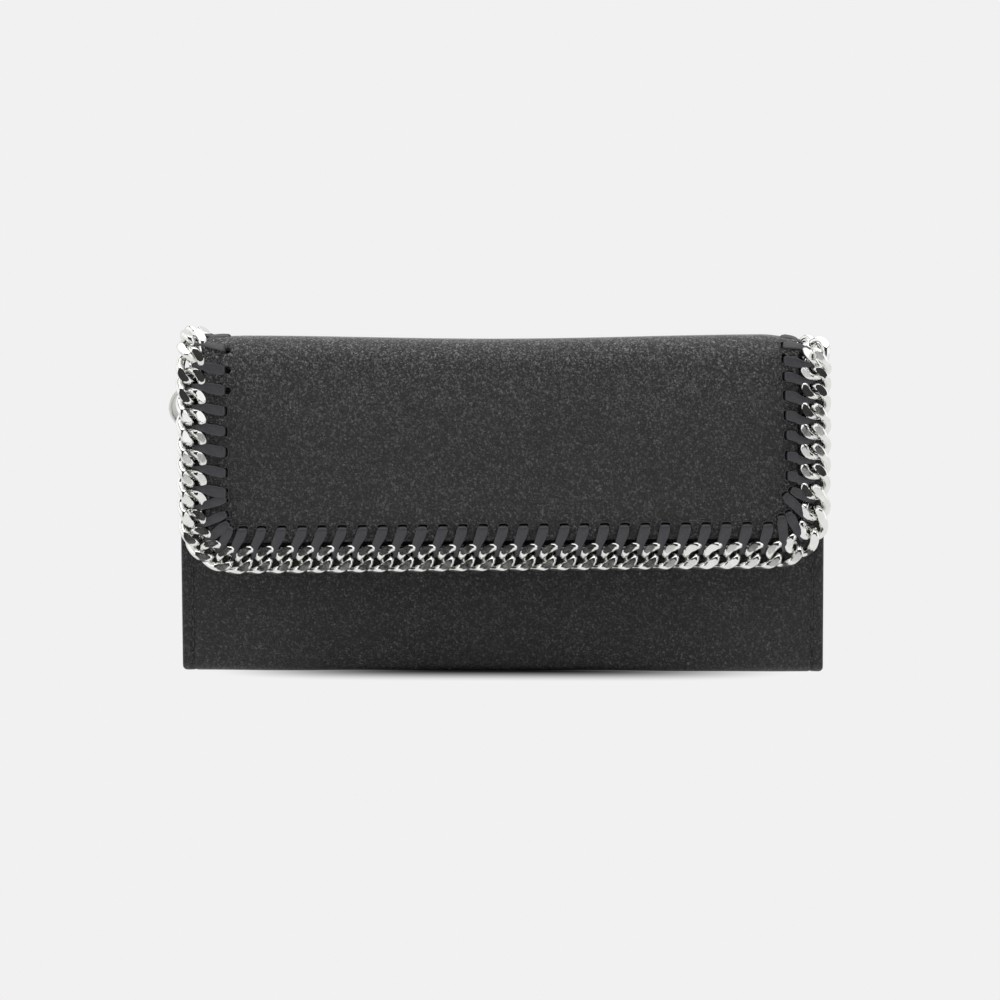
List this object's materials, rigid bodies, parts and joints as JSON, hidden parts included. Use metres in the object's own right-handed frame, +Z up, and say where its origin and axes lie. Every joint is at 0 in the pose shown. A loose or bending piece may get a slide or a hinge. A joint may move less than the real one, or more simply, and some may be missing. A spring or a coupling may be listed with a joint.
{
  "type": "flap wallet with chain trim",
  "caption": "Long flap wallet standing closed, its flap edged with a flat curb chain laced on with leather thongs, a blank disc charm at the back, zip pocket and card slots inside",
  "frame": {"origin": "on the plane of the base, at mid width and midway between the outer faces of the back wall and the flap", "axes": "X along the width, -Y to the front where the flap lies, +Z up; the base rests on Z = 0"},
  "size_m": [0.1956, 0.0278, 0.1008],
  "materials": {
    "chain_metal": "polished nickel plate, ground facets",
    "lace_leather": "smooth flat thong",
    "grained_leather": "fine shimmering pebble grain",
    "stiffener_board": "plain fibre board",
    "lining_leather": "smooth matte",
    "card_leather": "smooth matte with creased edge",
    "gusset_leather": "smooth matte",
    "pocket_lining": "fine twill",
    "zip_tape": "woven tape",
    "zip_metal": "nickel plate",
    "snap_metal": "satin nickel plate",
    "charm_metal": "satin face with a polished rim"
  },
  "bodies": {
    "shell": {"back_leather": "grained_leather", "back_board": "stiffener_board", "back_lining": "lining_leather", "back_links": "chain_metal", "back_laces": "lace_leather", "base_leather": "grained_leather", "base_lining": "lining_leather", "rear_card_tier_1": "card_leather", "rear_card_tier_2": "card_leather", "rear_card_tier_3": "card_leather", "rear_card_tier_4": "card_leather", "rear_gusset_wall_leaf_left": "gusset_leather", "rear_gusset_wall_leaf_right": "gusset_leather"},
    "rear_fold": {"rear_fold_leather": "grained_leather", "rear_fold_lining": "lining_leather", "rear_fold_links": "chain_metal", "rear_fold_laces": "lace_leather"},
    "spine": {"spine_leather": "grained_leather", "spine_board": "stiffener_board", "spine_lining": "lining_leather", "spine_links": "chain_metal", "spine_laces": "lace_leather"},
    "front_fold": {"front_fold_leather": "grained_leather", "front_fold_lining": "lining_leather", "front_fold_links": "chain_metal", "front_fold_laces": "lace_leather"},
    "flap": {"flap_leather": "grained_leather", "flap_board": "stiffener_board", "flap_lining": "lining_leather", "flap_links": "chain_metal", "flap_laces": "lace_leather", "snap_stud": "snap_metal", "flap_snap_washer": "snap_metal"},
    "pocket": {"zip_pocket": "pocket_lining", "zip_tape_rear": "zip_tape", "zip_tape_front": "zip_tape", "zip_teeth_rear": "zip_metal", "zip_teeth_front": "zip_metal", "zip_stops": "zip_metal", "rear_gusset_pocket_leaf_left": "gusset_leather", "rear_gusset_pocket_leaf_right": "gusset_leather", "front_gusset_pocket_leaf_left": "gusset_leather", "front_gusset_pocket_leaf_right": "gusset_leather"},
    "slider": {"zip_slider": "zip_metal"},
    "pull": {"zip_pull": "zip_metal"},
    "front": {"front_leather": "grained_leather", "front_board": "stiffener_board", "front_lining": "lining_leather", "front_card_tier_1": "card_leather", "front_card_tier_2": "card_leather", "snap_socket": "snap_metal", "front_snap_washer": "snap_metal", "front_gusset_wall_leaf_left": "gusset_leather", "front_gusset_wall_leaf_right": "gusset_leather"},
    "charm": {"charm_ring": "charm_metal", "charm_disc": "charm_metal"}
  },
  "joints": [
    {"name": "flap_opening_rear_fold", "type": "hinge", "parent": "shell", "child": "rear_fold", "pos_m": [0, 0.01022, 0.09397], "axis": [-1, 0, 0], "range_deg": [0, 45]},
    {"name": "spine_bend", "type": "hinge", "parent": "rear_fold", "child": "spine", "pos_m": [0, 0.00598, 0.0982], "axis": [-1, 0, 0], "range_deg": [0, 45]},
    {"name": "front_fold_bend", "type": "hinge", "parent": "spine", "child": "front_fold", "pos_m": [0, -0.00598, 0.0982], "axis": [-1, 0, 0], "range_deg": [0, 45]},
    {"name": "flap_bend", "type": "hinge", "parent": "front_fold", "child": "flap", "pos_m": [0, -0.01022, 0.09397], "axis": [-1, 0, 0], "range_deg": [0, 45]},
    {"name": "pocket_swing", "type": "hinge", "parent": "shell", "child": "pocket", "pos_m": [0, -0.00658, 0.00055], "axis": [1, 0, 0], "range_deg": [0, 4]},
    {"name": "front_swing", "type": "hinge", "parent": "pocket", "child": "front", "pos_m": [0, -0.00658, 0.00055], "axis": [1, 0, 0], "range_deg": [0, 4]},
    {"name": "zip_slide", "type": "slide", "parent": "pocket", "child": "slider", "axis": [-1, 0, 0], "range_m": [0, 0.142]},
    {"name": "pull_lift", "type": "hinge", "parent": "slider", "child": "pull", "pos_m": [0.073, 0.00146, 0.0881], "axis": [0, 1, 0], "range_deg": [0, 90]},
    {"name": "charm_swing", "type": "hinge", "parent": "shell", "child": "charm", "pos_m": [-0.092, 0.01022, 0.08673], "axis": [1, 0, 0], "range_deg": [0, 40]}
  ],
  "couplings": [
    {"joint": "spine_bend", "follows": "flap_opening_rear_fold", "ratio": 1},
    {"joint": "front_fold_bend", "follows": "flap_opening_rear_fold", "ratio": 1},
    {"joint": "flap_bend", "follows": "flap_opening_rear_fold", "ratio": 1},
    {"joint": "pocket_swing", "follows": "flap_opening_rear_fold", "ratio": 0.088889},
    {"joint": "front_swing", "follows": "flap_opening_rear_fold", "ratio": 0.088889},
    {"joint": "pull_lift", "follows": "flap_opening_rear_fold", "ratio": 2}
  ]
}
